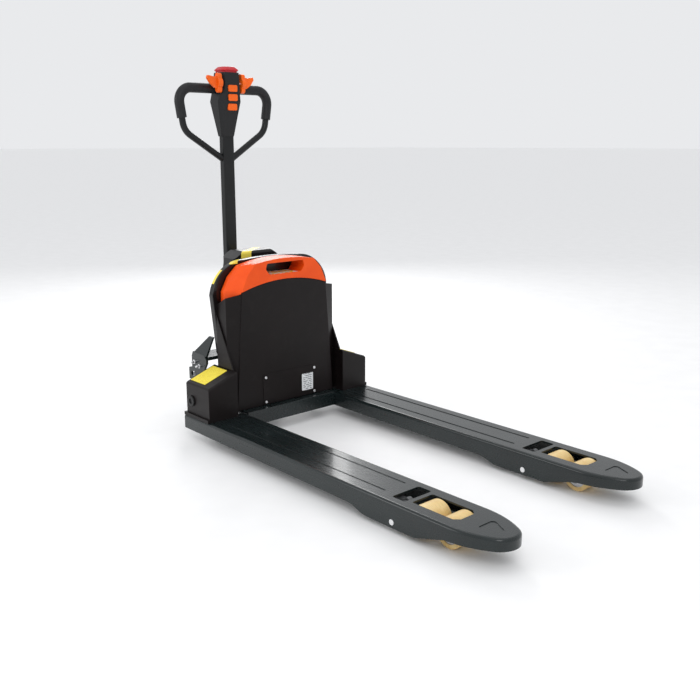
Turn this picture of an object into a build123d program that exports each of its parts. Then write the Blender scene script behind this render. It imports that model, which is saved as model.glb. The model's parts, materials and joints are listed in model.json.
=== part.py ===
from build123d import *
import os
from math import asin, atan2, cos, degrees, radians, sin, sqrt

# Walkie electric pallet truck, in millimetres. Forks point along +X, +Z is up and the floor is z = 0.
# While modelling, x = 0 is the heel, where the load meets the truck. save() moves the whole truck so
# that the origin ends up on the floor under the centre of its bounding box.

# ---------------------------------------------------------------- overall sizes
fork_length = 1150.0        # heel to fork tip
fork_spread = 685.0         # over the outer fork sides
fork_width = 155.0
fork_top = 82.0             # load face when lowered
frame_back = 140.0          # fork channels reach this far behind the heel
lift_height = 105.0
truck_height = 1197.0       # top of the tiller head
steer_x = -228.0            # steering axis and drive wheel centre
tiller_offset = 124.0       # tiller shaft behind the steering axis

# ---------------------------------------------------------------- clearances
running = 0.05              # radial, in bearings and on pins
gap = 0.4                   # between parts that slide or move past each other
slot_play = 1.2             # round the rocker pin in its level slot

# ---------------------------------------------------------------- forks
fork_wall = 5.0
fork_low = 37.0             # lower edge of the channel at the heel
fork_edge_r = 9.0
nose_side_r = 250.0
nose_tip_r = 52.0
nose_block = 115.0          # solid cast nose
heel_step = 1.0             # the seat of the corner boxes lies this far below the load face
groove_width = 11.0
groove_depth = 1.6
groove_offset = 36.0
groove_start = 44.0
groove_end = fork_length - 390.0
fork_y = (fork_spread - fork_width) / 2

# ---------------------------------------------------------------- load rollers and their levers
roller_r = 40.0
roller_width = 70.0
roller_core_r = 28.0
roller_axle_r = 8.0
roller_pitch = 89.0
bogie_x = fork_length - 218.5
pivot_x = fork_length - 325.0
pivot_z = 30.0
pivot_pin_r = 8.0
lever_hub_r = 12.5
tail_r = 30.0               # lever tail, from its pivot to the push rod pin
tail_pin_r = 5.0
lever_start = degrees(asin((roller_r - pivot_z) / (bogie_x - pivot_x)))
lever_length = (bogie_x - pivot_x) / cos(radians(lever_start))
lever_end = degrees(asin((lift_height - roller_r + pivot_z) / lever_length))
lever_turn = lever_start + lever_end
rod_travel = 2 * tail_r * sin(radians(lever_turn / 2))

# ---------------------------------------------------------------- torsion rocker and push rods
rocker_x = -100.0
rocker_z = 135.0
rocker_tube_r = 15.0
rocker_half_turn = 25.0
rocker_arm = lift_height / (2 * sin(radians(rocker_half_turn)))
rocker_lobe = rod_travel / (2 * sin(radians(rocker_half_turn)))
rocker_pin_r = 8.0
rod_pin_r = 6.0
arm_y = 236.0
arm_thick = 8.0
rod_thick = 14.0
rod_height = 12.0

# ---------------------------------------------------------------- battery box
panel_x = -32.0
panel_thick = 4.0
panel_low_half = 206.0
panel_top_half = 176.0
panel_corner_z = 478.0
panel_middle_z = 506.0
arch_x = -112.0
arch_thick = 8.0
arch_half = 241.0
arch_low_half = 214.0
arch_top_z = 578.0
arch_low_z = 160.0
arch_rim = 14.0             # depth of the rim behind the arch plate
box_inner_y = 226.0         # inner face of the corner boxes
box_outer_y = 336.0
box_back_x = -132.0
box_top_z = 232.0           # at the inner face, from where the top slopes outwards
box_slope = 0.364
box_base = 10.0
box_wall = 5.0
side_y = 225.0              # outer face of the battery box's sides
side_bend_x = -55.0
tray_z = 236.0
tray_thick = 6.0

# ---------------------------------------------------------------- battery
battery_half = 172.0
battery_front_x = -40.0
battery_back_x = -100.0
cap_front_x = -30.0
cap_top_z = 577.0
cap_half = 212.0
cap_front_half = 174.0
cap_bend_x = -84.0
cap_leg_z = 449.0           # lowest point of the legs, at cap_bend_x
cap_leg_slope = 0.52
hold_half = 80.0
hold_low_z = 526.0
hold_top_z = 563.0

# ---------------------------------------------------------------- drive chassis and drive unit
deck_z = 246.0
deck_thick = 12.0
bearing_r = 80.0
slew_r = 70.0
bracket_y = 246.0
bracket_thick = 8.0
wheel_r = 105.0
wheel_width = 70.0
wheel_hub_r = 62.0
wheel_axle_r = 12.0
cover_r = 110.0
cover_foot_r = 100.0
cover_wall = 4.0
cover_foot_z = 270.0
flange_thick = 9.0
cover_waist_z = 455.0
ridge_half = 94.0
ridge_x0 = -266.0
ridge_x1 = -186.0
ridge_shoulder_z = 564.0
ridge_z = 588.0
cover_back = 97.0           # flat back of the cover, behind the steering axis
cylinder_x = -162.0
cylinder_y = 165.0
cylinder_r = 24.0
ram_r = 14.0
lug_z = 412.0

# ---------------------------------------------------------------- tiller
tiller_x = steer_x - tiller_offset
tiller_pivot_z = 300.0
tiller_pin_r = 9.0
shaft_wide = 45.0
shaft_deep = 27.0
yoke_inside = shaft_wide / 2 + 2.5
yoke_outside = yoke_inside + 10.0
shaft_wall = 3.0
head_low_z = truck_height - 229.0
head_top_z = truck_height - 19.0
head_wide_z = truck_height - 114.0
head_neck_z = truck_height - 83.0
head_front_low = -335.0
head_front = -307.0
head_back_low = -371.0
head_rear = 33.0            # head's back behind the shaft centre
head_low_half = 26.0
head_half = 46.0
head_neck_half = 38.0
head_top_half = 34.5
head_wall = 3.0
head_split_x = -341.0
loop_x = -356.0
loop_tube_r = 11.0
grip_r = 16.5
loop_low_r = 60.0
loop_high_r = 45.0
throttle_x = -319.0
throttle_z = truck_height - 54.0
throttle_hub_r = 20.0
button_wide = 36.0
button_high = 22.0
button_heights = (truck_height - 71.0, truck_height - 101.0, truck_height - 132.0)
belly_travel = 5.0
loop_z = truck_height - 71.0    # upper legs of the loop, level with the top button

rear_reach = head_rear - tiller_x
origin_x = (fork_length - rear_reach) / 2
head_back = -rear_reach


# ---------------------------------------------------------------- helpers
def slab(x0, x1, y0, y1, z0, z1):
    centre = Pos((x0 + x1) / 2, (y0 + y1) / 2, (z0 + z1) / 2)
    return centre * Box(x1 - x0, y1 - y0, z1 - z0)


def rod_along_x(y, z, r, x0, x1):
    return Pos((x0 + x1) / 2, y, z) * Rot(0, 90, 0) * Cylinder(r, x1 - x0)


def rod_along_y(x, z, r, y0, y1):
    return Pos(x, (y0 + y1) / 2, z) * Rot(90, 0, 0) * Cylinder(r, y1 - y0)


def rod_along_z(x, y, r, z0, z1):
    return Pos(x, y, (z0 + z1) / 2) * Cylinder(r, z1 - z0)


def prism_y(points, y0, y1):
    """Polygon of (x, z) points, extruded from y0 to y1."""
    outline = Polyline(*[(x, y0, z) for x, z in points], close=True)
    return extrude(make_face(outline.edges()), amount=y1 - y0, dir=(0, 1, 0))


def prism_x(points, x0, x1):
    """Polygon of (y, z) points, extruded from x0 to x1."""
    outline = Polyline(*[(x0, y, z) for y, z in points], close=True)
    return extrude(make_face(outline.edges()), amount=x1 - x0, dir=(1, 0, 0))


def prism_z(points, z0, z1):
    """Polygon of (x, y) points, extruded from z0 to z1."""
    outline = Polyline(*[(x, y, z0) for x, y in points], close=True)
    return extrude(make_face(outline.edges()), amount=z1 - z0, dir=(0, 0, 1))


def link_y(p, q, half, y0, y1):
    """Flat bar between the (x, z) points p and q with rounded ends, extruded from y0 to y1."""
    length = sqrt((q[0] - p[0]) ** 2 + (q[1] - p[1]) ** 2)
    ux = (q[0] - p[0]) / length * half
    uz = (q[1] - p[1]) / length * half
    corners = [(p[0] - uz, p[1] + ux), (q[0] - uz, q[1] + ux),
               (q[0] + uz, q[1] - ux), (p[0] + uz, p[1] - ux)]
    bar = prism_y(corners, y0, y1)
    return bar + rod_along_y(*p, half, y0, y1) + rod_along_y(*q, half, y0, y1)


def slot_y(x, z, r, rise, y0, y1):
    """Vertical slot of radius r whose centres are rise apart, cut along Y."""
    ends = rod_along_y(x, z - rise / 2, r, y0, y1) + rod_along_y(x, z + rise / 2, r, y0, y1)
    return ends + slab(x - r, x + r, y0, y1, z - rise / 2, z + rise / 2)


def across(part):
    """The same part on the other side of the truck."""
    return mirror(part, about=Plane.XZ)


def save(name, part):
    moved = Pos(-origin_x, 0, 0) * part
    solids = moved.solids()
    shape = solids[0] if len(solids) == 1 else Compound(children=list(solids))
    export_step(shape, f"parts/{name}.step")


def save_pair(name, part):
    """part is on the +Y side, which is on the left of someone who looks along the forks."""
    save(f"{name}_left", part)
    save(f"{name}_right", across(part))


def save_both(name, part):
    """A matching pair in one node, as two solids."""
    save(name, part + across(part))


# ---------------------------------------------------------------- forks
def nose_plan(inset, back, z):
    """Fork outline seen from above: straight sides that run into a bullet nose made of tangent arcs."""
    half = fork_width / 2 - inset
    side_r = nose_side_r - inset
    tip_r = nose_tip_r - inset
    tip_x = fork_length - nose_tip_r
    side_x = tip_x - sqrt((side_r - tip_r) ** 2 - (side_r - half) ** 2)
    join = atan2(side_r - half, tip_x - side_x)
    middle = (radians(90) + join) / 2

    def on_side(angle, sign):
        y = half - side_r + side_r * sin(angle)
        return (side_x + side_r * cos(angle), fork_y + sign * y, z)

    tip = (tip_x + tip_r, fork_y, z)
    edges = [
        Line((back, fork_y - half, z), (side_x, fork_y - half, z)),
        ThreePointArc((side_x, fork_y - half, z), on_side(middle, -1), on_side(join, -1)),
        ThreePointArc(on_side(join, -1), tip, on_side(join, 1)),
        ThreePointArc(on_side(join, 1), on_side(middle, 1), (side_x, fork_y + half, z)),
        Line((side_x, fork_y + half, z), (back, fork_y + half, z)),
        Line((back, fork_y + half, z), (back, fork_y - half, z)),
    ]
    return make_face([edge.edge() for edge in edges])


def fork_side():
    """Side view of a fork: a low channel at the heel that deepens for the levers, then the thin nose."""
    y0 = fork_y - fork_width
    deep = 15.0
    high = fork_top + 20
    step = fork_length - 495
    lowest = fork_length - 250
    nose = fork_length - 152
    points = [(step + 80, deep), (lowest, deep), (nose, 44), (fork_length + 10, 52), (fork_length + 10, high),
              (-frame_back, high), (-frame_back, fork_low), (step, fork_low - 5)]
    corners = [(x, y0, z) for x, z in points]
    edges = [Line(a, b) for a, b in zip(corners, corners[1:])]
    edges.append(Bezier(corners[-1], (step + 35, y0, fork_low - 5), (step + 45, y0, deep), corners[0]))
    face = make_face([edge.edge() for edge in edges])
    return extrude(face, amount=2 * fork_width, dir=(0, 1, 0))


def fork():
    body = extrude(nose_plan(0, -frame_back, 5), amount=fork_top - 5)
    rim = [edge for edge in body.edges().group_by(Axis.Z)[-1] if edge.center().X > 1 - frame_back]
    body = fillet(rim, fork_edge_r)
    body &= fork_side()
    hollow = extrude(nose_plan(fork_wall, -frame_back - 1, -1), amount=fork_top - fork_wall + 1)
    hollow &= slab(-frame_back - 1, fork_length - nose_block, 0, fork_spread, -1, fork_top)
    body -= hollow
    body -= fork_windows()
    body -= fork_grooves()
    body -= slab(-frame_back - 1, -14, arm_y - 8, fork_y + 14, fork_top - 12, fork_top + 1)
    body -= slab(-frame_back - 1, 0, 0, fork_spread, fork_top - heel_step, fork_top + 1)
    body -= rod_along_y(pivot_x, pivot_z, pivot_pin_r, 0, fork_spread)
    return body


def fork_windows():
    """Inspection window over the lever pivot and the long window over the two rollers."""
    small = Pos(pivot_x - 5.5, fork_y, fork_top) * Box(45, 98, 30)
    small = fillet(small.edges().filter_by(Axis.Z), 7)
    half = roller_width / 2 + 2.5
    x0 = bogie_x - 75.5
    x1 = bogie_x + 71.5
    cut = 14.0
    outline = [(x0, fork_y - half), (x1 - cut, fork_y - half), (x1, fork_y - half + cut),
               (x1, fork_y + half - cut), (x1 - cut, fork_y + half), (x0, fork_y + half)]
    big = prism_z(outline, fork_top - 15, fork_top + 15)
    big = fillet(big.edges().filter_by(Axis.Z), 5)
    return small + big


def fork_grooves():
    """Two pressed beads along the load face and a rounded triangle on the nose."""
    length = groove_end - groove_start
    bead = extrude(SlotOverall(length, groove_width), amount=groove_depth + 1)
    at = Pos((groove_start + groove_end) / 2, 0, fork_top - groove_depth)
    beads = Pos(0, fork_y - groove_offset, 0) * at * bead
    beads += Pos(0, fork_y + groove_offset, 0) * at * bead
    back = fork_length - 94
    outline = [(back, fork_y - 33), (back + 66, fork_y), (back, fork_y + 33)]
    mark = prism_z(outline, fork_top - groove_depth, fork_top + 1)
    mark = fillet(mark.edges().filter_by(Axis.Z), 9)
    return beads + mark


# ---------------------------------------------------------------- load rollers
def lever():
    """Roller lever: hub on the pivot pin, two arms outside the bogie and a tail for the push rod."""
    hub = rod_along_y(pivot_x, pivot_z, lever_hub_r, fork_y - 52, fork_y + 52)
    body = hub
    for side in (-1, 1):
        inner = fork_y + side * 44
        outer = fork_y + side * 52
        y0 = min(inner, outer)
        body += link_y((pivot_x, pivot_z), (bogie_x, roller_r), lever_hub_r, y0, y0 + 8)
        stub_y0 = min(fork_y + side * 38.5, outer)
        stub_y1 = max(fork_y + side * 38.5, outer)
        body += rod_along_y(bogie_x, roller_r, 7, stub_y0, stub_y1)
    angle = radians(lever_turn / 2)
    tail = (pivot_x - tail_r * sin(angle), pivot_z + tail_r * cos(angle))
    for y0 in (fork_y - rod_thick / 2 - 6, fork_y + rod_thick / 2 + 1):
        body += link_y((pivot_x, pivot_z), tail, 8.5, y0, y0 + 5)
    body += rod_along_y(*tail, tail_pin_r, fork_y - rod_thick / 2 - 6, fork_y + rod_thick / 2 + 6)
    return body - rod_along_y(pivot_x, pivot_z, pivot_pin_r + running, 0, fork_spread)


def pivot_pin():
    return rod_along_y(pivot_x, pivot_z, pivot_pin_r,
                       fork_y - fork_width / 2 - 1, fork_y + fork_width / 2 + 1)


def bogie():
    """Two cheeks with the axles of the tandem rollers between them."""
    body = None
    half_pitch = roller_pitch / 2
    for side in (-1, 1):
        y0 = fork_y + min(side * 38.5, side * 42.5)
        cheek = link_y((bogie_x - half_pitch, roller_r), (bogie_x + half_pitch, roller_r), 15, y0, y0 + 4)
        cheek -= rod_along_y(bogie_x, roller_r, 7 + running, y0 - 1, y0 + 5)
        body = cheek if body is None else body + cheek
    for side in (-1, 1):
        body += rod_along_y(bogie_x + side * half_pitch, roller_r, roller_axle_r,
                            fork_y - 42.5, fork_y + 42.5)
    return body


def roller_tyre(side):
    x = bogie_x + side * roller_pitch / 2
    half = roller_width / 2
    tyre = rod_along_y(x, roller_r, roller_r, fork_y - half, fork_y + half)
    tyre = fillet(tyre.edges().filter_by(GeomType.CIRCLE), 3)
    return tyre - rod_along_y(x, roller_r, roller_core_r, fork_y - half - 1, fork_y + half + 1)


def roller_core(side):
    x = bogie_x + side * roller_pitch / 2
    half = roller_width / 2
    core = rod_along_y(x, roller_r, roller_core_r, fork_y - half + 2, fork_y + half - 2)
    core += rod_along_y(x, roller_r, roller_axle_r + 6, fork_y - half - 2, fork_y + half + 2)
    return core - rod_along_y(x, roller_r, roller_axle_r + running, fork_y - half - 3, fork_y + half + 3)


# ---------------------------------------------------------------- torsion rocker and push rods
def lobe_point():
    angle = radians(rocker_half_turn)
    return rocker_x - rocker_lobe * sin(angle), rocker_z - rocker_lobe * cos(angle)


def arm_point():
    angle = radians(rocker_half_turn)
    return rocker_x - rocker_arm * cos(angle), rocker_z + rocker_arm * sin(angle)


def rocker():
    """One tube across the truck with an arm and a rod lobe at each end, so both forks lift level."""
    arm = link_y((rocker_x, rocker_z), arm_point(), 14, arm_y, arm_y + arm_thick)
    arm += rod_along_y(rocker_x, rocker_z, 24, arm_y, arm_y + arm_thick)
    arm += link_y((rocker_x, rocker_z), lobe_point(), 11, arm_y, arm_y + arm_thick)
    arm += rod_along_y(*arm_point(), rocker_pin_r, arm_y, bracket_y + bracket_thick + 1)
    arm += rod_along_y(*lobe_point(), rod_pin_r, arm_y, fork_y + rod_thick / 2 + 2)
    tube = rod_along_y(rocker_x, rocker_z, rocker_tube_r, -box_outer_y, box_outer_y)
    return tube + arm + across(arm)


def push_rod():
    """Cranked bar from the rocker lobe, down into the fork channel and along it to the lever tail."""
    y0 = fork_y - rod_thick / 2
    y1 = fork_y + rod_thick / 2
    half = rod_height / 2
    rear_rise = rocker_lobe * (1 - cos(radians(rocker_half_turn)))
    front_rise = tail_r * (1 - cos(radians(lever_turn / 2)))
    rear = (lobe_point()[0], lobe_point()[1] - rear_rise / 2)
    front_x = pivot_x - tail_r * sin(radians(lever_turn / 2))
    front = (front_x, pivot_z + tail_r - front_rise / 2)
    knee = (-46.0, front[1])
    body = link_y(rear, knee, half, y0, y1) + link_y(knee, front, half, y0, y1)
    body += slot_y(*rear, rod_pin_r + 5, rear_rise, y0, y1)
    body += slot_y(*front, tail_pin_r + 5, front_rise, y0, y1)
    body -= slot_y(*rear, rod_pin_r + gap, rear_rise, y0 - 1, y1 + 1)
    body -= slot_y(*front, tail_pin_r + gap, front_rise, y0 - 1, y1 + 1)
    return body


# ---------------------------------------------------------------- fork frame and battery box
def heel_crossmember():
    """Front plate between the forks with the floor plate that carries the battery box."""
    inner = fork_y - fork_width / 2
    front = slab(-8, 0, -inner, inner, fork_low, fork_top + 4)
    floor = slab(-80, -8, -inner, inner, fork_top - 2, fork_top + 4)
    back = slab(-80, -74, -inner, inner, fork_low + 8, fork_top - 2)
    return front + floor + back


def corner_top(y):
    """Height of the corner box's sloping top."""
    return box_top_z - (y - box_inner_y) * box_slope


def corner_box():
    """Steel box with a sloping top on the fork's heel, open at the back, that holds the rocker bearing."""
    low = fork_top + box_base
    section = [(box_inner_y, low), (box_outer_y, low), (box_outer_y, corner_top(box_outer_y)),
               (box_inner_y, box_top_z)]
    body = prism_x(section, box_back_x, 0)
    rim = [edge for edge in body.edges() if edge.center().Z > corner_top(box_outer_y) - 1
           and edge.center().X > box_back_x + 1 and edge.center().Y > box_inner_y + 1]
    body = fillet(rim, 8)
    y0 = box_inner_y + box_wall
    y1 = box_outer_y - box_wall
    inside = [(y0, low - 1), (y1, low - 1),
              (y1, corner_top(y1) - box_wall), (y0, corner_top(y0) - box_wall)]
    body -= prism_x(inside, box_back_x - 1, -box_wall)
    seat = fork_top - heel_step
    body += slab(-frame_back, 0, box_inner_y, fork_y + fork_width / 2, seat, low)
    body -= slab(-frame_back - 1, -14, arm_y - 8, fork_y + 14, seat - 1, low + 1)
    return body - rod_along_y(rocker_x, rocker_z, rocker_tube_r + running, 0, fork_spread)


def pivot_plug():
    plug = rod_along_y(rocker_x, rocker_z, 18, box_outer_y, box_outer_y + 6)
    plug = fillet(plug.edges().group_by(Axis.Y)[-1], 3)
    return plug - rod_along_y(rocker_x, rocker_z, 9, box_outer_y + 3, box_outer_y + 7)


def step_pad():
    """Grit film on the sloping top of the corner box."""
    y0 = box_inner_y + 10
    y1 = box_outer_y - 14
    section = [(y0, corner_top(y0)), (y1, corner_top(y1)),
               (y1, corner_top(y1) + 2), (y0, corner_top(y0) + 2)]
    return prism_x(section, box_back_x + 6, -42)


def panel_arc(x, rise):
    """Curved line over the front panel, from the right corner to the left one."""
    ends = [(x, side * panel_top_half, panel_corner_z + rise) for side in (-1, 1)]
    return ThreePointArc(ends[0], (x, 0, panel_middle_z + rise), ends[1])


def front_panel():
    """Battery box front: slightly narrower at the top, with a bowed top edge."""
    x0 = panel_x - panel_thick
    low = fork_top + 4
    edges = [
        panel_arc(x0, 0),
        Line((x0, panel_top_half, panel_corner_z), (x0, panel_low_half, low)),
        Line((x0, panel_low_half, low), (x0, -panel_low_half, low)),
        Line((x0, -panel_low_half, low), (x0, -panel_top_half, panel_corner_z)),
    ]
    face = make_face([edge.edge() for edge in edges])
    return extrude(face, amount=panel_thick, dir=(1, 0, 0))


def leg_line(x):
    """Height of the joint between the battery cap's leg and the side plate below it."""
    return cap_leg_z + (x - cap_bend_x) * cap_leg_slope


def side_strip():
    """Bent plate from the front panel's edge, round the bend and back to the arch plate."""
    thick = 4.0
    top_z = leg_line(panel_x) + 4

    def section(half, z):
        front = panel_x - panel_thick
        rear = arch_x + arch_thick
        outer = [(front, half - 2), (side_bend_x, side_y), (rear, side_y)]
        inner = [(rear, side_y - thick), (side_bend_x - 2, side_y - thick), (front, half - 7)]
        return make_face(Polyline(*[(x, y, z) for x, y in outer + inner], close=True).edges())

    body = loft([section(panel_low_half, fork_top + 4), section(panel_top_half + 1, top_z)])
    above = [(arch_x, leg_line(arch_x) - 1), (0, leg_line(0) - 1), (0, top_z + 90), (arch_x, top_z + 90)]
    body -= prism_y(above, 0, fork_spread)
    return body - rod_along_y(rocker_x, rocker_z, rocker_tube_r + 2, 0, fork_spread)


def arch_outline(x, inset):
    """Outline of the battery box's back in the YZ plane: it widens upwards to a broad rounded top."""
    low = arch_low_half - inset
    half = arch_half - inset
    top = arch_top_z - inset
    knee = top - 5
    flat = 112.0
    left = [(low, arch_low_z), (low, arch_low_z + 45), (half, 466)]
    right = [(-y, z) for y, z in reversed(left)]
    edges = [Line((x, *a), (x, *b)) for a, b in zip(left, left[1:])]
    edges.append(ThreePointArc((x, half, 466), (x, 209 - inset * 0.8, 532 - inset * 0.6), (x, flat, knee)))
    edges.append(ThreePointArc((x, flat, knee), (x, 0, top), (x, -flat, knee)))
    shoulder = (x, -209 + inset * 0.8, 532 - inset * 0.6)
    edges.append(ThreePointArc((x, -flat, knee), shoulder, (x, -half, 466)))
    edges += [Line((x, *a), (x, *b)) for a, b in zip(right, right[1:])]
    edges.append(Line((x, *right[-1]), (x, *left[0])))
    return make_face([edge.edge() for edge in edges])


def arch_plate():
    """Back wall of the battery box with a rim behind it and the lugs for the lift rams."""
    plate = extrude(arch_outline(arch_x, 0), amount=arch_thick, dir=(1, 0, 0))
    rim = extrude(arch_outline(arch_x - arch_rim, 0), amount=arch_rim, dir=(1, 0, 0))
    rim -= extrude(arch_outline(arch_x - arch_rim, 5), amount=arch_rim, dir=(1, 0, 0))
    plate += rim & slab(arch_x - arch_rim, arch_x, -arch_half, arch_half,
                        deck_z + deck_thick + 12, arch_top_z + 9)
    for side in (-1, 1):
        reach = cylinder_x - cylinder_r + 2
        y0 = side * cylinder_y - 22
        plate += slab(reach, arch_x, y0, y0 + 44, lug_z, lug_z + 10)
        web = [(arch_x, lug_z + 10), (arch_x, lug_z + 50), (reach + 20, lug_z + 10)]
        plate += prism_y(web, y0 + 18, y0 + 26)
    return plate


def battery_tray():
    return slab(arch_x + arch_thick, panel_x - panel_thick,
                -battery_half, battery_half, tray_z, tray_z + tray_thick)


def ram():
    """Lift ram: its top is fixed under the lug of the arch plate, its foot stays in the barrel."""
    return rod_along_z(cylinder_x, cylinder_y, ram_r, deck_z + deck_thick + 12, lug_z)


def side_wing():
    """Sloped gusset beside the battery box, down to the front of the corner box's top."""
    y0 = side_y + 0.5
    outline = [(arch_x + arch_thick, 405), (-78, 354), (-17, box_top_z), (arch_x + arch_thick, box_top_z)]
    return prism_y(outline, y0, y0 + 5)


def access_plate():
    plate = slab(panel_x, panel_x + 2, -102, 130, fork_top + 6, 193)
    return fillet(plate.edges().filter_by(Axis.X), 4)


def rating_plate():
    plate = slab(panel_x + 2, panel_x + 2.8, 63, 112, 106, 166)
    return fillet(plate.edges().filter_by(Axis.X), 3)


def access_screws():
    body = None
    for y in (-91, 118.5):
        for z in (96, 181):
            head = rod_along_x(y, z, 5, panel_x + 2, panel_x + 4.5)
            head = chamfer(head.edges().group_by(Axis.X)[-1], 1)
            socket = extrude(RegularPolygon(2.4, 6), amount=1.5, both=True)
            head -= Pos(panel_x + 4.5, y, z) * Rot(0, 90, 0) * socket
            body = head if body is None else body + head
    return body


# ---------------------------------------------------------------- hydraulics behind the access plate
def pump_motor():
    body = rod_along_y(-70, 193, 28, -170, -62)
    return body + rod_along_y(-70, 193, 22, -178, -170)


def pump_block():
    return slab(-97, -43, -62, -8, 166, 222)


def oil_tank():
    body = slab(-98, -42, -8, 160, 160, 228)
    return fillet(body.edges().filter_by(Axis.Y), 10)


def controller():
    body = slab(-80, -44, -80, 110, fork_top + 6, 150)
    for index in range(9):
        y = -70 + index * 20
        body += slab(-84, -80, y, y + 4, fork_top + 10, 112)
    return body


# ---------------------------------------------------------------- battery
def battery_case():
    """Upright lithium pack whose top follows the cap."""
    x0 = battery_back_x
    low = tray_z + tray_thick
    drop = (panel_middle_z - panel_corner_z) * (battery_half / panel_top_half) ** 2
    edge_z = panel_middle_z + 1 - drop
    edges = [
        ThreePointArc((x0, -battery_half, edge_z), (x0, 0, panel_middle_z + 1), (x0, battery_half, edge_z)),
        Line((x0, battery_half, edge_z), (x0, battery_half, low)),
        Line((x0, battery_half, low), (x0, -battery_half, low)),
        Line((x0, -battery_half, low), (x0, -battery_half, edge_z)),
    ]
    face = make_face([edge.edge() for edge in edges])
    case = extrude(face, amount=battery_front_x - battery_back_x, dir=(1, 0, 0))
    return case - battery_cap_block()


def cap_outline(x, half, inner, shoulder_z):
    """Closed outline of the cap in the YZ plane, half wide at its legs and inner wide at its shoulders."""
    left = [(half, cap_leg_z - 30), (half, shoulder_z), (half - 0.4 * (half - inner), shoulder_z + 46),
            (inner, shoulder_z + 80)]
    right = [(-y, z) for y, z in reversed(left)]
    edges = [Line((x, *a), (x, *b)) for a, b in zip(left, left[1:])]
    edges.append(ThreePointArc((x, *left[-1]), (x, 0, cap_top_z), (x, *right[0])))
    edges += [Line((x, *a), (x, *b)) for a, b in zip(right, right[1:])]
    edges.append(Line((x, *right[-1]), (x, *left[0])))
    return make_face([edge.edge() for edge in edges])


def cap_foot():
    """Everything under the cap: the space of the panel, the side plates and the case."""
    x0 = battery_back_x - 5
    half = panel_top_half + 1
    low = cap_leg_z - 40
    edges = [
        panel_arc(x0, 1),
        Line((x0, panel_top_half, panel_corner_z + 1), (x0, half, panel_corner_z + 1)),
        Line((x0, half, panel_corner_z + 1), (x0, half, low)),
        Line((x0, half, low), (x0, -half, low)),
        Line((x0, -half, low), (x0, -half, panel_corner_z + 1)),
        Line((x0, -half, panel_corner_z + 1), (x0, -panel_top_half, panel_corner_z + 1)),
    ]
    middle = extrude(make_face([edge.edge() for edge in edges]), amount=100, dir=(1, 0, 0))
    under = [(x0, leg_line(x0)), (0, leg_line(0)), (0, low - 1), (x0, low - 1)]
    return middle + prism_y(under, -fork_spread, fork_spread)


def battery_cap_block():
    """Cap with chamfered shoulders, before its hand-hold is cut."""
    rear = cap_outline(cap_bend_x, cap_half, 151, 478)
    body = extrude(rear, amount=cap_bend_x - battery_back_x, dir=(-1, 0, 0))
    body += loft([rear, cap_outline(cap_front_x, cap_front_half, 122, 486)])
    return body - cap_foot()


def battery_cap():
    """Orange cap with a grip bar over a hand-hold that goes right through."""
    body = battery_cap_block()
    middle_z = (hold_low_z + hold_top_z) / 2
    outline = [(-hold_half + 14, hold_low_z), (hold_half - 14, hold_low_z), (hold_half, middle_z),
               (hold_half - 5, hold_top_z), (5 - hold_half, hold_top_z), (-hold_half, middle_z)]
    through = prism_x(outline, battery_back_x - 1, cap_front_x + 1)
    return body - fillet(through.edges().filter_by(Axis.X), 6)


# ---------------------------------------------------------------- drive chassis
def chassis_deck():
    """Deck that carries the steering bearing, with arms to both side brackets."""
    z1 = deck_z + deck_thick
    body = rod_along_z(steer_x, 0, bearing_r + 13, deck_z, z1)
    body += slab(-222, -136, -bracket_y, bracket_y, deck_z, z1)
    body -= rod_along_z(steer_x, 0, bearing_r, deck_z - 1, z1 + 1)
    for side in (-1, 1):
        body -= rod_along_z(cylinder_x, side * cylinder_y, 6, deck_z - 1, z1 + 1)
    return body


def side_bracket():
    """Side plate of the chassis with a folded-in top and a level slot for the pin of the rocker arm."""
    pin_x, pin_z = arm_point()
    shift = rocker_arm * (1 - cos(radians(rocker_half_turn)))
    outer = bracket_y + bracket_thick
    front = box_back_x - 5
    outline = [(front, 250), (-150, 262), (-218, 266), (-226, 250), (-226, 212), (-246, 206), (-246, 166),
               (-190, 166), (-160, 200), (front, 236)]
    body = prism_y(outline, bracket_y, outer)
    fold = prism_x([(outer, 260), (outer - 30, 322), (outer - 36, 322), (bracket_y, 260)], -218, front)
    fold -= prism_y([(-219, 259), (-219, 323), (-160, 323)], 200, 260)
    ends = rocker_pin_r + slot_play
    slot = rod_along_y(pin_x, pin_z, ends, bracket_y - 1, outer + 1)
    slot += rod_along_y(pin_x - shift, pin_z, ends, bracket_y - 1, outer + 1)
    slot += slab(pin_x - shift, pin_x, bracket_y - 1, outer + 1, pin_z - ends, pin_z + ends)
    return body + fold - slot


def grease_fittings():
    """Two grease nipples on each side bracket."""
    face_y = bracket_y + bracket_thick
    group = None
    for x, z in ((-206, 232), (-176, 222)):
        nipple = rod_along_y(x, z, 7, face_y, face_y + 5)
        nipple += rod_along_y(x, z, 4.5, face_y + 5, face_y + 12)
        nipple += Pos(x, face_y + 14, z) * Sphere(4)
        group = nipple if group is None else group + nipple
    return group + across(group)


def cylinder_barrel():
    z0 = deck_z + deck_thick
    body = rod_along_z(cylinder_x, cylinder_y, cylinder_r, z0, lug_z - 16)
    body += rod_along_z(cylinder_x, cylinder_y, 6, deck_z - 4, z0)
    return body - rod_along_z(cylinder_x, cylinder_y, ram_r + running, z0 + 8, lug_z)


def bearing_outer():
    body = rod_along_z(steer_x, 0, bearing_r, deck_z, deck_z + deck_thick)
    return body - rod_along_z(steer_x, 0, slew_r + running, deck_z - 1, deck_z + deck_thick + 1)


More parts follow.
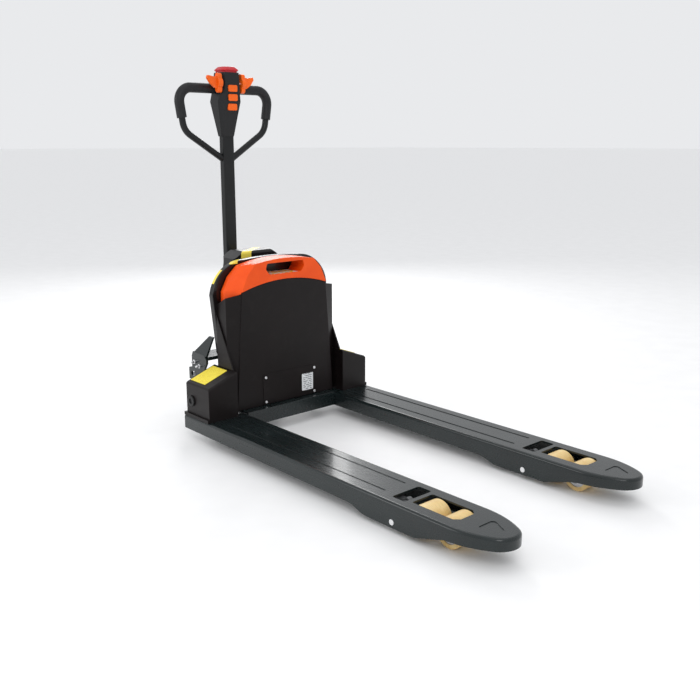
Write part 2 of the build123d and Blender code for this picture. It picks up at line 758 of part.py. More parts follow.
# ---------------------------------------------------------------- drive unit
def drive_bracket():
    """Slewing disc with its cover flange, two arms and the wheel axle between them."""
    body = rod_along_z(steer_x, 0, slew_r, deck_z - 12, cover_foot_z)
    body += rod_along_z(steer_x, 0, cover_foot_r, cover_foot_z - flange_thick, cover_foot_z)
    for side in (-1, 1):
        y0 = min(side * 42, side * 54)
        arm = prism_y([(steer_x - 34, deck_z - 12), (steer_x + 34, deck_z - 12), (steer_x + 26, wheel_r),
                       (steer_x - 26, wheel_r)], y0, y0 + 12)
        arm += rod_along_y(steer_x, wheel_r, 26, y0, y0 + 12)
        body += arm
    return body + rod_along_y(steer_x, wheel_r, wheel_axle_r, -56, 62)


def gearbox():
    body = rod_along_y(steer_x, wheel_r, 50, 54, 86)
    body += slab(steer_x - 30, steer_x + 30, 54, 74, wheel_r, deck_z - 14)
    edge = body.edges().filter_by(GeomType.CIRCLE).group_by(Axis.Y)[-1]
    body = fillet(edge, 6)
    return body - rod_along_y(steer_x, wheel_r, wheel_axle_r, 50, 62)


def drive_motor():
    """Upright traction motor with cooling ribs and its brake on top."""
    z0 = cover_foot_z
    body = rod_along_z(steer_x, 0, 56, z0, z0 + 130)
    for index in range(8):
        z = z0 + 16 + index * 12
        body += rod_along_z(steer_x, 0, 61, z, z + 5)
    return body


def brake():
    z0 = cover_foot_z + 130
    body = rod_along_z(steer_x, 0, 44, z0, z0 + 34)
    return chamfer(body.edges().group_by(Axis.Z)[-1], 4)


def cover_shape(inset):
    """Barrel that widens upwards to its waist, then folds in to a cross ridge."""
    foot = Pos(steer_x, 0, cover_foot_z) * Circle(cover_foot_r - inset)
    waist = Pos(steer_x, 0, cover_waist_z) * Circle(cover_r - inset)
    body = loft([foot.face(), waist.face()])
    length = ridge_x1 - ridge_x0 - 2 * inset
    half = ridge_half - inset
    ridge = Pos((ridge_x0 + ridge_x1) / 2, 0, 548 - inset) * RectangleRounded(length, 2 * half, 14)
    body += loft([waist.face(), ridge.face()])
    top = prism_x([(-half, 500), (half, 500), (half, ridge_shoulder_z - inset), (half - 36, ridge_z - inset),
                   (36 - half, ridge_z - inset), (-half, ridge_shoulder_z - inset)],
                  ridge_x0 + inset, ridge_x1 - inset)
    top = fillet(top.edges().filter_by(Axis.Z), 14)
    body += top
    back = steer_x - cover_back + inset
    return body & slab(back, steer_x + cover_r, -cover_r, cover_r, cover_foot_z, ridge_z + 5)


def drive_cover():
    body = cover_shape(0)
    edge = body.edges().group_by(Axis.Z)[-1]
    body = fillet(edge, 10)
    inside = cover_shape(cover_wall)
    mouth = slab(steer_x - 20, steer_x + 20, -20, 20, cover_foot_z - 1, cover_foot_z + 1)
    body -= inside + mouth
    return body


def tiller_yoke():
    """Base and two cheeks behind the drive motor that carry the tiller's hinge pin."""
    z0 = cover_foot_z
    base = slab(tiller_x - 22, steer_x - cover_foot_r + 10, -yoke_outside, yoke_outside,
                z0 - flange_thick, z0)
    base -= rod_along_z(steer_x, 0, cover_foot_r, z0 - 20, z0 + 1)
    body = base
    for side in (-1, 1):
        y0 = min(side * yoke_inside, side * yoke_outside)
        cheek = slab(tiller_x - 22, tiller_x + 20, y0, y0 + 10, z0, tiller_pivot_z)
        cheek += rod_along_y(tiller_x - 1, tiller_pivot_z, 21, y0, y0 + 10)
        body += cheek
    return body - rod_along_y(tiller_x, tiller_pivot_z, tiller_pin_r, -yoke_outside - 5, yoke_outside + 5)


def tiller_pin():
    end = yoke_outside + 4
    body = rod_along_y(tiller_x, tiller_pivot_z, tiller_pin_r, 1 - end, end - 1)
    near_head = rod_along_y(tiller_x, tiller_pivot_z, 13, yoke_outside, end)
    return body + near_head + rod_along_y(tiller_x, tiller_pivot_z, 13, -end, -yoke_outside)


# ---------------------------------------------------------------- drive wheel
def wheel_hub():
    half = wheel_width / 2
    body = rod_along_y(steer_x, wheel_r, wheel_hub_r, -half + 4, half - 4)
    body -= rod_along_y(steer_x, wheel_r, wheel_hub_r - 10, half - 16, half)
    body += rod_along_y(steer_x, wheel_r, 24, half - 20, half)
    return body - rod_along_y(steer_x, wheel_r, wheel_axle_r + running, -half, half + 1)


def wheel_tyre():
    half = wheel_width / 2
    tyre = rod_along_y(steer_x, wheel_r, wheel_r, -half, half)
    tyre = fillet(tyre.edges().filter_by(GeomType.CIRCLE), 6)
    return tyre - rod_along_y(steer_x, wheel_r, wheel_hub_r, -half - 1, half + 1)


def wheel_bolts():
    half = wheel_width / 2
    body = None
    for index in range(5):
        angle = radians(index * 72)
        x = steer_x + 38 * cos(angle)
        z = wheel_r + 38 * sin(angle)
        bolt = rod_along_y(x, z, 6, half - 16, half - 9)
        body = bolt if body is None else body + bolt
    return body


# ---------------------------------------------------------------- tiller
def tiller_shaft():
    """Rectangular tube with a bush for the hinge pin."""
    z0 = tiller_pivot_z - 18
    z1 = head_low_z + 26
    middle = Pos(tiller_x, 0, (z0 + z1) / 2)
    body = middle * extrude(RectangleRounded(shaft_deep, shaft_wide, 5), amount=(z1 - z0) / 2, both=True)
    inner = RectangleRounded(shaft_deep - 2 * shaft_wall, shaft_wide - 2 * shaft_wall, 2)
    body -= middle * extrude(inner, amount=(z1 - z0), both=True)
    bush = yoke_inside - 1
    body += rod_along_y(tiller_x, tiller_pivot_z, 13, -bush, bush)
    return body - rod_along_y(tiller_x, tiller_pivot_z, tiller_pin_r + running, -bush - 6, bush + 6)


def loop_points():
    """Corners of the left half of the loop, from the shaft up to the head."""
    return [(loop_x + 4, shaft_wide / 2 - 2, loop_z - 233),
            (loop_x, 166, loop_z - 140), (loop_x, 187, loop_z),
            (loop_x, 33, loop_z)]


def swept(points, radii, radius):
    path = FilletPolyline(*points, radius=radii)
    start = path @ 0
    direction = path % 0
    section = Plane(origin=start, z_dir=direction) * Circle(radius)
    return sweep(section.face(), path=path)


def loop_handle():
    body = swept(loop_points(), (loop_low_r, loop_high_r), loop_tube_r)
    half_wide = shaft_wide / 2
    inside = slab(tiller_x - shaft_deep / 2, tiller_x + shaft_deep / 2, -half_wide, half_wide,
                  loop_z - 276, loop_z - 176)
    return body - inside - head_solid(head_wall)


def grip():
    """Rubber sleeve from the head, round the top corner and down the leg."""
    low, corner, end = loop_points()[1:]
    foot_z = loop_z - 98
    share = (corner[2] - foot_z) / (corner[2] - low[2])
    foot = (corner[0], corner[1] + (low[1] - corner[1]) * share, foot_z)
    start = (end[0], head_neck_half + 4, end[2])
    sleeve = swept([start, corner, foot], (loop_high_r,), grip_r)
    return sleeve - swept(loop_points(), (loop_low_r, loop_high_r), loop_tube_r)


def head_section(station, inset):
    """Chamfered section of the head at one height, drawn in by inset."""
    z, front, back, half, cut_x, cut_y = station
    front -= inset
    back += inset
    half -= inset
    side = [(front, half - cut_y), (front - cut_x, half), (back + 8, half), (back, half - 6)]
    points = side + [(x, -y) for x, y in reversed(side)]
    return make_face(Polyline(*[(x, y, z) for x, y in points], close=True).edges())


def head_top(z):
    return (z, head_front + 1, head_back + 13, head_top_half, 12, 8)


def head_solid(inset):
    """Faceted head through four sections: foot, widest place, neck and top."""
    stations = [(head_low_z + inset, head_front_low, head_back_low, head_low_half, 9, 7),
                (head_wide_z, head_front, head_back, head_half, 22, 14),
                (head_neck_z, head_front, head_back, head_neck_half, 12, 8),
                head_top(head_top_z + (1 if inset else 0))]
    return loft([head_section(station, inset) for station in stations], ruled=True)


def head_shell():
    body = head_solid(0) - head_solid(head_wall)
    fit_x = shaft_deep / 2 + gap / 2
    fit_y = shaft_wide / 2 + gap / 2
    body -= slab(tiller_x - fit_x, tiller_x + fit_x, -fit_y, fit_y, head_low_z - 1, head_low_z + 30)
    body -= rod_along_y(throttle_x, throttle_z, 5 + running, -60, 60)
    body -= rod_along_y(loop_x, loop_z, loop_tube_r, -60, 60)
    for z in button_heights:
        body -= button_cut(z, gap)
    return body


def button_cut(z, clearance):
    wide = button_wide / 2 + clearance
    high = button_high / 2 + clearance
    block = slab(head_front - 16, head_front + 10, -wide, wide, z - high, z + high)
    return fillet(block.edges().filter_by(Axis.X), 5)


def head_front_shell():
    return head_shell() & slab(head_split_x, head_front + 20, -80, 80, head_low_z - 10, head_top_z + 20)


def head_back_shell():
    return head_shell() & slab(head_back - 5, head_split_x, -80, 80, head_low_z - 10, head_top_z + 20)


def button(z):
    lean = (head_front - head_front_low) / (head_wide_z - head_low_z) * max(0.0, head_wide_z - z)
    face = head_front - lean
    wide = button_wide / 2
    high = button_high / 2
    cap = slab(face - 6, face + 4.5, -wide, wide, z - high, z + high)
    cap = fillet(cap.edges().filter_by(Axis.X), 5)
    return fillet(cap.edges().group_by(Axis.X)[-1], 1.5)


def belly_button():
    """Red reversing button: a neck in the open top of the head and a bevelled cap over it."""
    low = head_top_z - 5
    cap_low = head_top_z + belly_travel + gap
    neck = extrude(head_section(head_top(low), head_wall + gap + 0.6), amount=cap_low - low, dir=(0, 0, 1))
    edge = head_section(head_top(cap_low), 1)
    rim = extrude(edge, amount=4, dir=(0, 0, 1))
    crown = loft([head_section(head_top(cap_low + 4), 1), head_section(head_top(truck_height), 10)])
    return neck + rim + crown


def throttle_shaft():
    return rod_along_y(throttle_x, throttle_z, 5, -54, 54)


def paddle():
    """Butterfly paddle: a tall hub beside the head and a thumb wing over the grip."""
    y0 = head_neck_half + 2
    hub = rod_along_y(throttle_x, throttle_z, throttle_hub_r - 2, y0, y0 + 16)
    hub += link_y((throttle_x, throttle_z - 22), (throttle_x, throttle_z + 22), 10, y0, y0 + 16)
    hub = fillet(hub.edges().group_by(Axis.Y)[-1], 3)
    outline = [(10, -20), (10, 22), (28, 19), (51, 23), (54, 14), (42, -3), (24, -16)]
    wing = prism_x([(y0 + y, throttle_z + z) for y, z in outline], throttle_x - 5, throttle_x + 5)
    wing = fillet(wing.edges().filter_by(Axis.X), 2)
    return hub + wing - rod_along_y(throttle_x, throttle_z, 5, 0, 54)


# ---------------------------------------------------------------- build
def build():
    os.makedirs("parts", exist_ok=True)
    save_pair("fork", fork())
    save_both("levers", lever())
    save_both("pivot_pins", pivot_pin())
    save_both("bogies", bogie())
    for side, place in ((-1, "rear"), (1, "front")):
        save_pair(f"roller_tyre_{place}", roller_tyre(side))
        save_pair(f"roller_core_{place}", roller_core(side))
    save("rocker", rocker())
    save_both("push_rods", push_rod())
    save("heel_crossmember", heel_crossmember())
    save_both("corner_boxes", corner_box())
    save_both("pivot_plugs", pivot_plug())
    save_both("step_pads", step_pad())
    save("front_panel", front_panel())
    save_both("side_strips", side_strip())
    save("arch_plate", arch_plate())
    save("battery_tray", battery_tray())
    save_both("lift_rams", ram())
    save_both("side_wings", side_wing())
    save("access_plate", access_plate())
    save("rating_plate", rating_plate())
    save("access_screws", access_screws())
    save("pump_motor", pump_motor())
    save("pump_block", pump_block())
    save("oil_tank", oil_tank())
    save("controller", controller())
    save("battery_case", battery_case())
    save("battery_cap", battery_cap())
    save("chassis_deck", chassis_deck())
    save_both("side_brackets", side_bracket())
    save("grease_fittings", grease_fittings())
    save_both("lift_cylinders", cylinder_barrel())
    save("steering_bearing", bearing_outer())
    save("drive_bracket", drive_bracket())
    save("gearbox", gearbox())
    save("drive_motor", drive_motor())
    save("brake", brake())
    save("drive_cover", drive_cover())
    save("tiller_yoke", tiller_yoke())
    save("tiller_pin", tiller_pin())
    save("wheel_hub", wheel_hub())
    save("wheel_tyre", wheel_tyre())
    save("wheel_bolts", wheel_bolts())
    save("tiller_shaft", tiller_shaft())
    save_both("loop_handle", loop_handle())
    save_both("grips", grip())
    save("head_front_shell", head_front_shell())
    save("head_back_shell", head_back_shell())
    save("throttle_shaft", throttle_shaft())
    save_both("throttle_paddles", paddle())
    for name, z in zip(("horn", "raise", "lower"), button_heights):
        save(f"{name}_button", button(z))
    save("belly_button", belly_button())


build()
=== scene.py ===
import json
from math import cos, radians, sin

import bmesh
import bpy
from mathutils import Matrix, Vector

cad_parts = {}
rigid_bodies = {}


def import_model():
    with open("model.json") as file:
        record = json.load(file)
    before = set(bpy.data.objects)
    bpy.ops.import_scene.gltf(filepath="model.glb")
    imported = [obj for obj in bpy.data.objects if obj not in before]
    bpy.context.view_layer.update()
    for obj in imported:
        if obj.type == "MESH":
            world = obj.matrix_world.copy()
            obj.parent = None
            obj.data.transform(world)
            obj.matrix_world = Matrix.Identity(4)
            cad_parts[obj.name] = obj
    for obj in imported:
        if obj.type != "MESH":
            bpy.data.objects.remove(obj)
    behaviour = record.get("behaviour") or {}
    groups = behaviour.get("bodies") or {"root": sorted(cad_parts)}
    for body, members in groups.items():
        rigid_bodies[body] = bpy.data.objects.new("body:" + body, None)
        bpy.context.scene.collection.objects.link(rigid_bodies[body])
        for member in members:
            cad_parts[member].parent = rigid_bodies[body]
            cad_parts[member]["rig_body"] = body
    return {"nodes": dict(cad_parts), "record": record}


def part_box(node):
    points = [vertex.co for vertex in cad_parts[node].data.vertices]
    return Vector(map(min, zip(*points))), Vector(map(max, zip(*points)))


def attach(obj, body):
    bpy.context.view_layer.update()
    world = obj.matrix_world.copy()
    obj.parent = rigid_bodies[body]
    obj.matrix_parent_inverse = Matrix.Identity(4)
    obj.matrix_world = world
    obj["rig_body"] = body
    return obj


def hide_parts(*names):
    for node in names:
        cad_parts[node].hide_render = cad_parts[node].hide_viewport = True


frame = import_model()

scene = bpy.context.scene
nodes = frame["nodes"]
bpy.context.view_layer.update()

# Everything is in metres, in the CAD frame. The heel is where the load meets the truck.
heel_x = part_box("heel_crossmember")[1].x

floor_reach = 150.0
cad_smooth_angle = 30
smooth_angle = 32
bevel_segments = 2
bevel_angle = 28
weld_distance = 2e-6
flat_angle = 0.6

# Films and marks on the cap, the cover and the battery box.
film_yellow = (0.93, 0.74, 0.10)
film_depth = 0.0500
film_thick = 0.0016
film_half = 0.055
film_setback = 0.033
ridge_depth = 0.026
stripe_slant = 1.39
stripe_shift = 0.011
stripe_half = 0.021
rim_setback = 0.0085
rim_side_y = -0.195
rim_patch_z = 0.524
label_rows = 150.0
label_margin = 0.006


# ---------------------------------------------------------------- camera, light and floor
def make_camera():
    azimuth = radians(48.06)
    elevation = radians(13.49)
    distance = 2.9761
    target = Vector((heel_x + 0.07486, 0.19341, 0.250))
    back = Vector((sin(azimuth) * cos(elevation), -cos(azimuth) * cos(elevation), sin(elevation)))
    data = bpy.data.cameras.new("camera")
    data.sensor_width = 36.0
    data.lens = 44.276
    data.clip_end = 500.0
    camera = bpy.data.objects.new("camera", data)
    camera.location = target + back * distance
    camera.rotation_euler = back.to_track_quat("Z", "Y").to_euler()
    scene.collection.objects.link(camera)
    scene.camera = camera


def area_light(name, place, aim, size, power):
    data = bpy.data.lights.new(name, "AREA")
    data.shape = "RECTANGLE"
    data.size = size[0]
    data.size_y = size[1]
    data.energy = power
    light = bpy.data.objects.new(name, data)
    light.location = place
    light.rotation_euler = (Vector(place) - Vector(aim)).to_track_quat("Z", "Y").to_euler()
    scene.collection.objects.link(light)


def make_stage():
    world = bpy.data.worlds.new("studio")
    world.use_nodes = True
    background = world.node_tree.nodes["Background"]
    background.inputs["Color"].default_value = (0.97, 0.98, 1.0, 1)
    background.inputs["Strength"].default_value = 0.84
    scene.world = world
    area_light("key", (2.6, -2.4, 3.2), (0, 0, 0.3), (1.6, 1.6), 34)
    area_light("top", (-0.2, 0.3, 3.6), (0, 0, 0), (3.0, 2.0), 12)
    area_light("rim", (-2.8, 1.8, 2.2), (-0.3, 0, 0.5), (1.0, 2.0), 34)
    area_light("side", (-1.6, -3.0, 1.6), (-0.2, 0, 0.4), (1.6, 1.2), 20)

    mesh = bpy.data.meshes.new("floor")
    reach = floor_reach
    corners = [(-reach, -reach, 0), (reach, -reach, 0), (reach, reach, 0), (-reach, reach, 0)]
    mesh.from_pydata(corners, [], [(0, 1, 2, 3)])
    floor = bpy.data.objects.new("floor", mesh)
    scene.collection.objects.link(floor)
    paint = Shader("floor_paint", rough=0.75)
    grain = paint.noise(9, 4)
    paint.colour(paint.ramp(grain, [(0.3, (0.91, 0.91, 0.91)), (0.7, (0.94, 0.94, 0.94))]))
    mesh.materials.append(paint.material)
    scene.view_settings.view_transform = "Standard"


# ---------------------------------------------------------------- shader helper
class Shader:
    """A principled material with object coordinates in metres and a few short calls for its nodes."""

    def __init__(self, name, rough=0.5, metal=0.0, specular=0.5, coat=0.0, coat_rough=0.1):
        self.material = bpy.data.materials.new(name)
        self.material.use_nodes = True
        self.tree = self.material.node_tree
        self.surface = self.tree.nodes["Principled BSDF"]
        self.surface.inputs["Roughness"].default_value = rough
        self.surface.inputs["Metallic"].default_value = metal
        self.surface.inputs["Specular IOR Level"].default_value = specular
        self.surface.inputs["Coat Weight"].default_value = coat
        self.surface.inputs["Coat Roughness"].default_value = coat_rough
        self.place = self.tree.nodes.new("ShaderNodeTexCoord").outputs["Object"]

    def link(self, a, b):
        self.tree.links.new(a, b)

    def put(self, socket, value):
        if isinstance(value, (int, float)):
            socket.default_value = value
        elif isinstance(value, tuple):
            socket.default_value = (*value, 1) if len(socket.default_value) == 4 else value
        else:
            self.link(value, socket)

    def stretched(self, scale):
        node = self.tree.nodes.new("ShaderNodeMapping")
        node.inputs["Scale"].default_value = scale
        self.link(self.place, node.inputs["Vector"])
        return node.outputs["Vector"]

    def noise(self, scale, detail=3, where=None, rough=0.5):
        node = self.tree.nodes.new("ShaderNodeTexNoise")
        node.inputs["Scale"].default_value = scale
        node.inputs["Detail"].default_value = detail
        node.inputs["Roughness"].default_value = rough
        self.link(where or self.place, node.inputs["Vector"])
        return node.outputs["Fac"]

    def cells(self, scale):
        node = self.tree.nodes.new("ShaderNodeTexVoronoi")
        node.inputs["Scale"].default_value = scale
        self.link(self.place, node.inputs["Vector"])
        return node.outputs["Distance"]

    def ramp(self, value, stops):
        node = self.tree.nodes.new("ShaderNodeValToRGB")
        ramp = node.color_ramp
        while len(ramp.elements) < len(stops):
            ramp.elements.new(0.5)
        for element, (place, shade) in zip(ramp.elements, stops):
            element.position = place
            rgb = shade if isinstance(shade, tuple) else (shade, shade, shade)
            element.color = (*rgb, 1)
        self.link(value, node.inputs["Fac"])
        return node.outputs["Color"]

    def mix(self, fac, a, b):
        """Colour mix. Sockets 6, 7 and output 2 are the mix node's colour ones."""
        node = self.tree.nodes.new("ShaderNodeMix")
        node.data_type = "RGBA"
        self.put(node.inputs["Factor"], fac)
        self.put(node.inputs[6], a)
        self.put(node.inputs[7], b)
        return node.outputs[2]

    def math(self, operation, a, b=0.0):
        node = self.tree.nodes.new("ShaderNodeMath")
        node.operation = operation
        self.put(node.inputs[0], a)
        self.put(node.inputs[1], b)
        return node.outputs[0]

    def above(self, a, b):
        return self.math("GREATER_THAN", a, b)

    def below(self, a, b):
        return self.math("LESS_THAN", a, b)

    def both(self, a, b):
        return self.math("MULTIPLY", a, b)

    def axis(self, name):
        node = self.tree.nodes.new("ShaderNodeSeparateXYZ")
        self.link(self.place, node.inputs[0])
        return node.outputs[name]

    def colour(self, value):
        self.put(self.surface.inputs["Base Color"], value)

    def rough(self, value, low, high):
        """Roughness that follows a 0 to 1 texture between low and high."""
        node = self.tree.nodes.new("ShaderNodeMapRange")
        node.inputs["To Min"].default_value = low
        node.inputs["To Max"].default_value = high
        self.link(value, node.inputs["Value"])
        self.link(node.outputs["Result"], self.surface.inputs["Roughness"])

    def bump(self, height, strength, distance):
        node = self.tree.nodes.new("ShaderNodeBump")
        node.inputs["Strength"].default_value = strength
        node.inputs["Distance"].default_value = distance
        self.link(height, node.inputs["Height"])
        last = self.surface.inputs["Normal"].links
        if last:
            self.link(last[0].from_socket, node.inputs["Normal"])
        self.link(node.outputs["Normal"], self.surface.inputs["Normal"])


# ---------------------------------------------------------------- materials
def tinted(shade, factor):
    return tuple(channel * factor for channel in shade)


def powder_coat(name, shade, rough, peel=1.0, dust=0.05, coat=0.0, specular=0.3):
    """Sprayed paint: orange peel, fine speckle, faint handling marks and a little dust."""
    paint = Shader(name, coat=coat, coat_rough=0.10, specular=specular)
    cloud = paint.noise(7, 5)
    fleck = paint.noise(900, 2)
    base = paint.ramp(cloud, [(0.35, tinted(shade, 0.82)), (0.65, tinted(shade, 1.15))])
    dusty = paint.ramp(paint.noise(26, 6, rough=0.7), [(0.52, 0.0), (0.72, dust)])
    paint.colour(paint.mix(dusty, base, (0.16, 0.15, 0.14)))
    scuffs = paint.noise(4, 6, paint.stretched((3, 40, 40)), rough=0.65)
    paint.rough(scuffs, rough - 0.09, rough + 0.13)
    paint.bump(paint.noise(420, 2), 0.10 * peel, 0.0006)
    paint.bump(fleck, 0.06 * peel, 0.0003)
    return paint.material


def moulded(name, shade, rough):
    """Moulded plastic with a fine spark-eroded grain and slight colour drift."""
    plastic = Shader(name, specular=0.3)
    cloud = plastic.noise(14, 4)
    plastic.colour(plastic.ramp(cloud, [(0.3, tinted(shade, 0.90)), (0.7, tinted(shade, 1.07))]))
    plastic.rough(plastic.noise(60, 5, rough=0.65), rough - 0.07, rough + 0.10)
    plastic.bump(plastic.noise(1500, 3), 0.14, 0.0004)
    plastic.bump(plastic.cells(1100), 0.05, 0.0003)
    return plastic.material


def rubber(name, shade, rough, ribs=0.0):
    stuff = Shader(name, specular=0.3)
    wear = stuff.noise(38, 6, rough=0.7)
    stuff.colour(stuff.ramp(wear, [(0.35, tinted(shade, 0.75)), (0.7, tinted(shade, 1.35))]))
    stuff.rough(stuff.noise(90, 4), rough - 0.08, rough + 0.1)
    stuff.bump(stuff.noise(700, 4), 0.25, 0.0006)
    if ribs:
        stuff.bump(stuff.cells(260), ribs, 0.0008)
    return stuff.material


def bare_metal(name, shade, rough, brushed=(30, 600, 600)):
    metal = Shader(name, metal=1.0)
    lines = metal.noise(3, 6, metal.stretched(brushed), rough=0.6)
    metal.colour(metal.ramp(lines, [(0.3, tinted(shade, 0.80)), (0.7, tinted(shade, 1.05))]))
    metal.rough(lines, rough - 0.08, rough + 0.14)
    metal.bump(lines, 0.05, 0.0002)
    return metal.material


def cast_metal():
    metal = Shader("cast_metal_look", metal=0.9)
    cloud = metal.noise(30, 5, rough=0.6)
    metal.colour(metal.ramp(cloud, [(0.3, (0.36, 0.36, 0.37)), (0.7, (0.55, 0.55, 0.56))]))
    metal.rough(cloud, 0.38, 0.6)
    metal.bump(metal.noise(500, 4), 0.3, 0.0006)
    return metal.material


def polyurethane():
    """Cast cream tyre: slightly translucent, with darker streaks of picked-up dust."""
    tyre = Shader("roller_cream_look")
    cloud = tyre.noise(22, 6, rough=0.6)
    creams = [(0.25, (0.66, 0.43, 0.15)), (0.55, (0.80, 0.58, 0.25)), (0.8, (0.88, 0.70, 0.38))]
    base = tyre.ramp(cloud, creams)
    streaks = tyre.noise(5, 5, tyre.stretched((14, 160, 14)), rough=0.6)
    track = tyre.ramp(streaks, [(0.5, 0.0), (0.75, 0.5)])
    tyre.colour(tyre.mix(track, base, (0.42, 0.27, 0.10)))
    tyre.rough(cloud, 0.28, 0.46)
    tyre.bump(tyre.noise(300, 4), 0.12, 0.0006)
    tyre.surface.inputs["Subsurface Weight"].default_value = 0.08
    tyre.surface.inputs["Subsurface Radius"].default_value = (0.004, 0.002, 0.001)
    return tyre.material


def grit():
    """Anti-slip film: coarse mineral grains under a yellow coat."""
    film = Shader("grit_yellow_look", rough=0.6)
    grains = film.cells(420)
    yellows = [(0.0, (1.0, 0.86, 0.10)), (0.6, (0.97, 0.78, 0.06)), (0.95, (0.70, 0.50, 0.03))]
    film.colour(film.ramp(grains, yellows))
    film.bump(grains, 0.9, 0.0012)
    film.bump(film.noise(800, 3), 0.5, 0.0008)
    return film.material


def cap_plastic():
    """Orange moulding with a yellow and white film on the floor of its hand-hold."""
    cap = Shader("cap_orange_look", specular=0.25)
    cloud = cap.noise(14, 4)
    orange = cap.ramp(cloud, [(0.3, (0.80, 0.070, 0.004)), (0.7, (0.90, 0.096, 0.006))])
    floor_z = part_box("battery_cap")[1].z - film_depth
    under = cap.below(cap.axis("Z"), floor_z)
    over = cap.above(cap.axis("Z"), floor_z - film_thick)
    near = cap.below(cap.math("ABSOLUTE", cap.axis("Y")), film_half)
    inner = cap.below(cap.axis("X"), heel_x - film_setback)
    film = cap.both(cap.both(under, over), cap.both(near, inner))
    patches = cap.noise(70, 1, cap.stretched((1, 1, 0)))
    blocks = cap.ramp(patches, [(0.48, (0.90, 0.68, 0.05)), (0.52, (0.80, 0.82, 0.80))])
    cap.colour(cap.mix(film, orange, blocks))
    cap.rough(cap.noise(60, 5, rough=0.65), 0.30, 0.46)
    cap.bump(cap.noise(1500, 3), 0.14, 0.0004)
    cap.bump(cap.cells(1100), 0.05, 0.0003)
    return cap.material


def label():
    """Printed foil with plain rows of bars in place of any words."""
    foil = Shader("label_white_look", rough=0.35)
    low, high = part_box("rating_plate")
    rows = foil.both(foil.math("SUBTRACT", foil.axis("Z"), low.z), label_rows)
    in_row = foil.above(foil.math("FRACT", rows), 0.55)
    breaks = foil.above(foil.noise(60, 0, foil.stretched((1, 3, label_rows / 60))), 0.42)
    margin = foil.above(foil.axis("Y"), low.y + label_margin)
    edge = foil.below(foil.axis("Y"), high.y - label_margin)
    ink = foil.both(foil.both(in_row, breaks), foil.both(margin, edge))
    foil.colour(foil.mix(ink, (0.78, 0.80, 0.81), (0.20, 0.21, 0.23)))
    foil.bump(ink, 0.2, 0.0001)
    return foil.material


def striped_cover():
    """Gloss black with two yellow films: one across the cover's ridge, one on the box's right rim."""
    cover = Shader("gloss_cover_look", coat=0.35, coat_rough=0.06, specular=0.2)
    cloud = cover.noise(18, 4)
    black = cover.ramp(cloud, [(0.3, (0.004, 0.0036, 0.0038)), (0.7, (0.008, 0.007, 0.007))])
    ridge = cover.above(cover.axis("Z"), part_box("drive_cover")[1].z - ridge_depth)
    low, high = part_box("steering_bearing")
    across = cover.math("ADD", cover.axis("Y"), cover.both(cover.axis("X"), stripe_slant))
    middle = stripe_slant * (low.x + high.x) / 2 + stripe_shift
    offset = cover.math("ABSOLUTE", cover.math("SUBTRACT", across, middle))
    stripe = cover.both(ridge, cover.below(offset, stripe_half))
    rear = cover.below(cover.axis("X"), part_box("arch_plate")[1].x - rim_setback)
    flank = cover.both(rear, cover.below(cover.axis("Y"), rim_side_y))
    height = cover.math("ABSOLUTE", cover.math("SUBTRACT", cover.axis("Z"), rim_patch_z))
    film = cover.math("MAXIMUM", stripe, cover.both(flank, cover.below(height, stripe_half)))
    cover.colour(cover.mix(film, black, film_yellow))
    cover.rough(cover.noise(40, 5, rough=0.6), 0.24, 0.40)
    cover.bump(cover.noise(1200, 3), 0.08, 0.0003)
    cover.bump(film, 0.3, 0.0003)
    return cover.material


def make_materials():
    return {
        "frame_paint": powder_coat("frame_paint_look", (0.0065, 0.0115, 0.0120), 0.26,
                                   peel=0.35, dust=0.01, coat=0.28, specular=0.35),
        "grey_steel": powder_coat("grey_steel_look", (0.13, 0.135, 0.14), 0.45),
        "bright_pin": bare_metal("bright_pin_look", (0.90, 0.90, 0.91), 0.30, (200, 200, 200)),
        "panel_black": powder_coat("panel_black_look", (0.0065, 0.0042, 0.0042), 0.40,
                                   peel=1.4, dust=0.02, specular=0.22),
        "gloss_cover": striped_cover(),
        "plug_black": rubber("plug_black_look", (0.005, 0.005, 0.0055), 0.4),
        "grit_yellow": grit(),
        "label_white": label(),
        "motor_black": powder_coat("motor_black_look", (0.010, 0.010, 0.011), 0.40),
        "cast_metal": cast_metal(),
        "tank_plastic": moulded("tank_plastic_look", (0.55, 0.54, 0.48), 0.4),
        "bearing_steel": bare_metal("bearing_steel_look", (0.56, 0.56, 0.57), 0.34),
        "battery_black": moulded("battery_black_look", (0.018, 0.018, 0.020), 0.5),
        "cap_orange": cap_plastic(),
        "control_orange": moulded("control_orange_look", (0.90, 0.13, 0.006), 0.36),
        "button_red": moulded("button_red_look", (0.52, 0.020, 0.028), 0.34),
        "drive_tyre": rubber("drive_tyre_look", (0.022, 0.022, 0.023), 0.6),
        "roller_cream": polyurethane(),
        "tiller_paint": powder_coat("tiller_paint_look", (0.007, 0.0078, 0.0085), 0.36,
                                    peel=1.2, dust=0.03),
        "grip_rubber": rubber("grip_rubber_look", (0.012, 0.0125, 0.014), 0.5, ribs=0.12),
        "head_plastic": moulded("head_plastic_look", (0.010, 0.0105, 0.0115), 0.42),
    }


# ---------------------------------------------------------------- pieces
def slot_of(node):
    for part in frame["record"]["subparts"]:
        if part["node"] == node:
            return part["material_slot"]
    return None


def shade_smooth(mesh, angle):
    """Smooth shading with sharp edges kept where faces meet at a clear angle."""
    for face in mesh.polygons:
        face.use_smooth = True
    mesh.set_sharp_from_angle(angle=radians(angle))


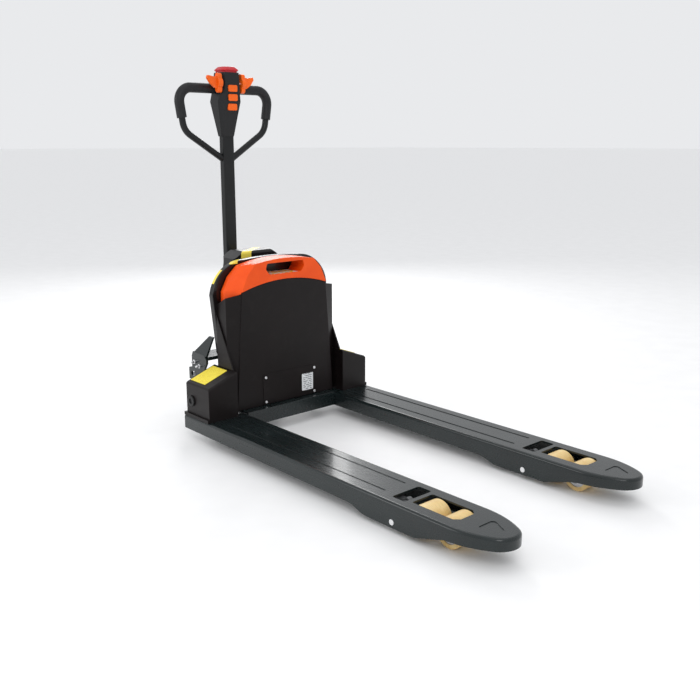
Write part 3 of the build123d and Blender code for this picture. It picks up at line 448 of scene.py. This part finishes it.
def baked(piece):
    """Applies the modifiers of a piece, so that what is left is a plain mesh."""
    graph = bpy.context.evaluated_depsgraph_get()
    final = bpy.data.meshes.new_from_object(piece.evaluated_get(graph))
    old = piece.data
    piece.modifiers.clear()
    piece.data = final
    bpy.data.meshes.remove(old)


def refined(node, width):
    """A copy of a CAD node's shape with clean faces and rounded edges, which stands for that node."""
    mesh = nodes[node].data.copy()
    shape = bmesh.new()
    shape.from_mesh(mesh)
    bmesh.ops.remove_doubles(shape, verts=shape.verts, dist=weld_distance)
    bmesh.ops.dissolve_limit(shape, angle_limit=radians(flat_angle),
                             verts=shape.verts, edges=shape.edges)
    shape.to_mesh(mesh)
    shape.free()
    piece = bpy.data.objects.new(node + "_body", mesh)
    scene.collection.objects.link(piece)
    bevel = piece.modifiers.new("edges", "BEVEL")
    bevel.width = width
    bevel.segments = bevel_segments
    bevel.limit_method = "ANGLE"
    bevel.angle_limit = radians(bevel_angle)
    bevel.use_clamp_overlap = True
    baked(piece)
    shade_smooth(piece.data, smooth_angle)
    weight = piece.modifiers.new("flat_faces", "WEIGHTED_NORMAL")
    weight.keep_sharp = True
    weight.weight = 80
    baked(piece)
    slot = slot_of(node)
    piece.data.materials.clear()
    piece.data.materials.append(looks[slot])
    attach(piece, nodes[node]["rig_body"])
    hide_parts(node)


def paint_cad():
    """Gives every CAD node that is carried over its finished material and smooth shading."""
    for name, node in nodes.items():
        slot = slot_of(name)
        for place in node.material_slots:
            place.material = looks[slot]
        shade_smooth(node.data, cad_smooth_angle)


def refine_pieces():
    widths = {
        0.0014: ("fork_left", "fork_right", "heel_crossmember", "chassis_deck", "side_brackets",
                 "levers", "bogies", "tiller_yoke", "access_plate", "front_panel", "side_strips",
                 "side_wings", "rocker"),
        0.0024: ("arch_plate", "corner_boxes", "gearbox", "drive_bracket"),
        0.0030: ("battery_cap", "head_front_shell", "head_back_shell", "belly_button"),
        0.0010: ("access_screws", "throttle_paddles", "pivot_pins", "step_pads", "grease_fittings"),
    }
    for width, names in widths.items():
        for name in names:
            refined(name, width)


make_camera()
looks = make_materials()
make_stage()
paint_cad()
refine_pieces()
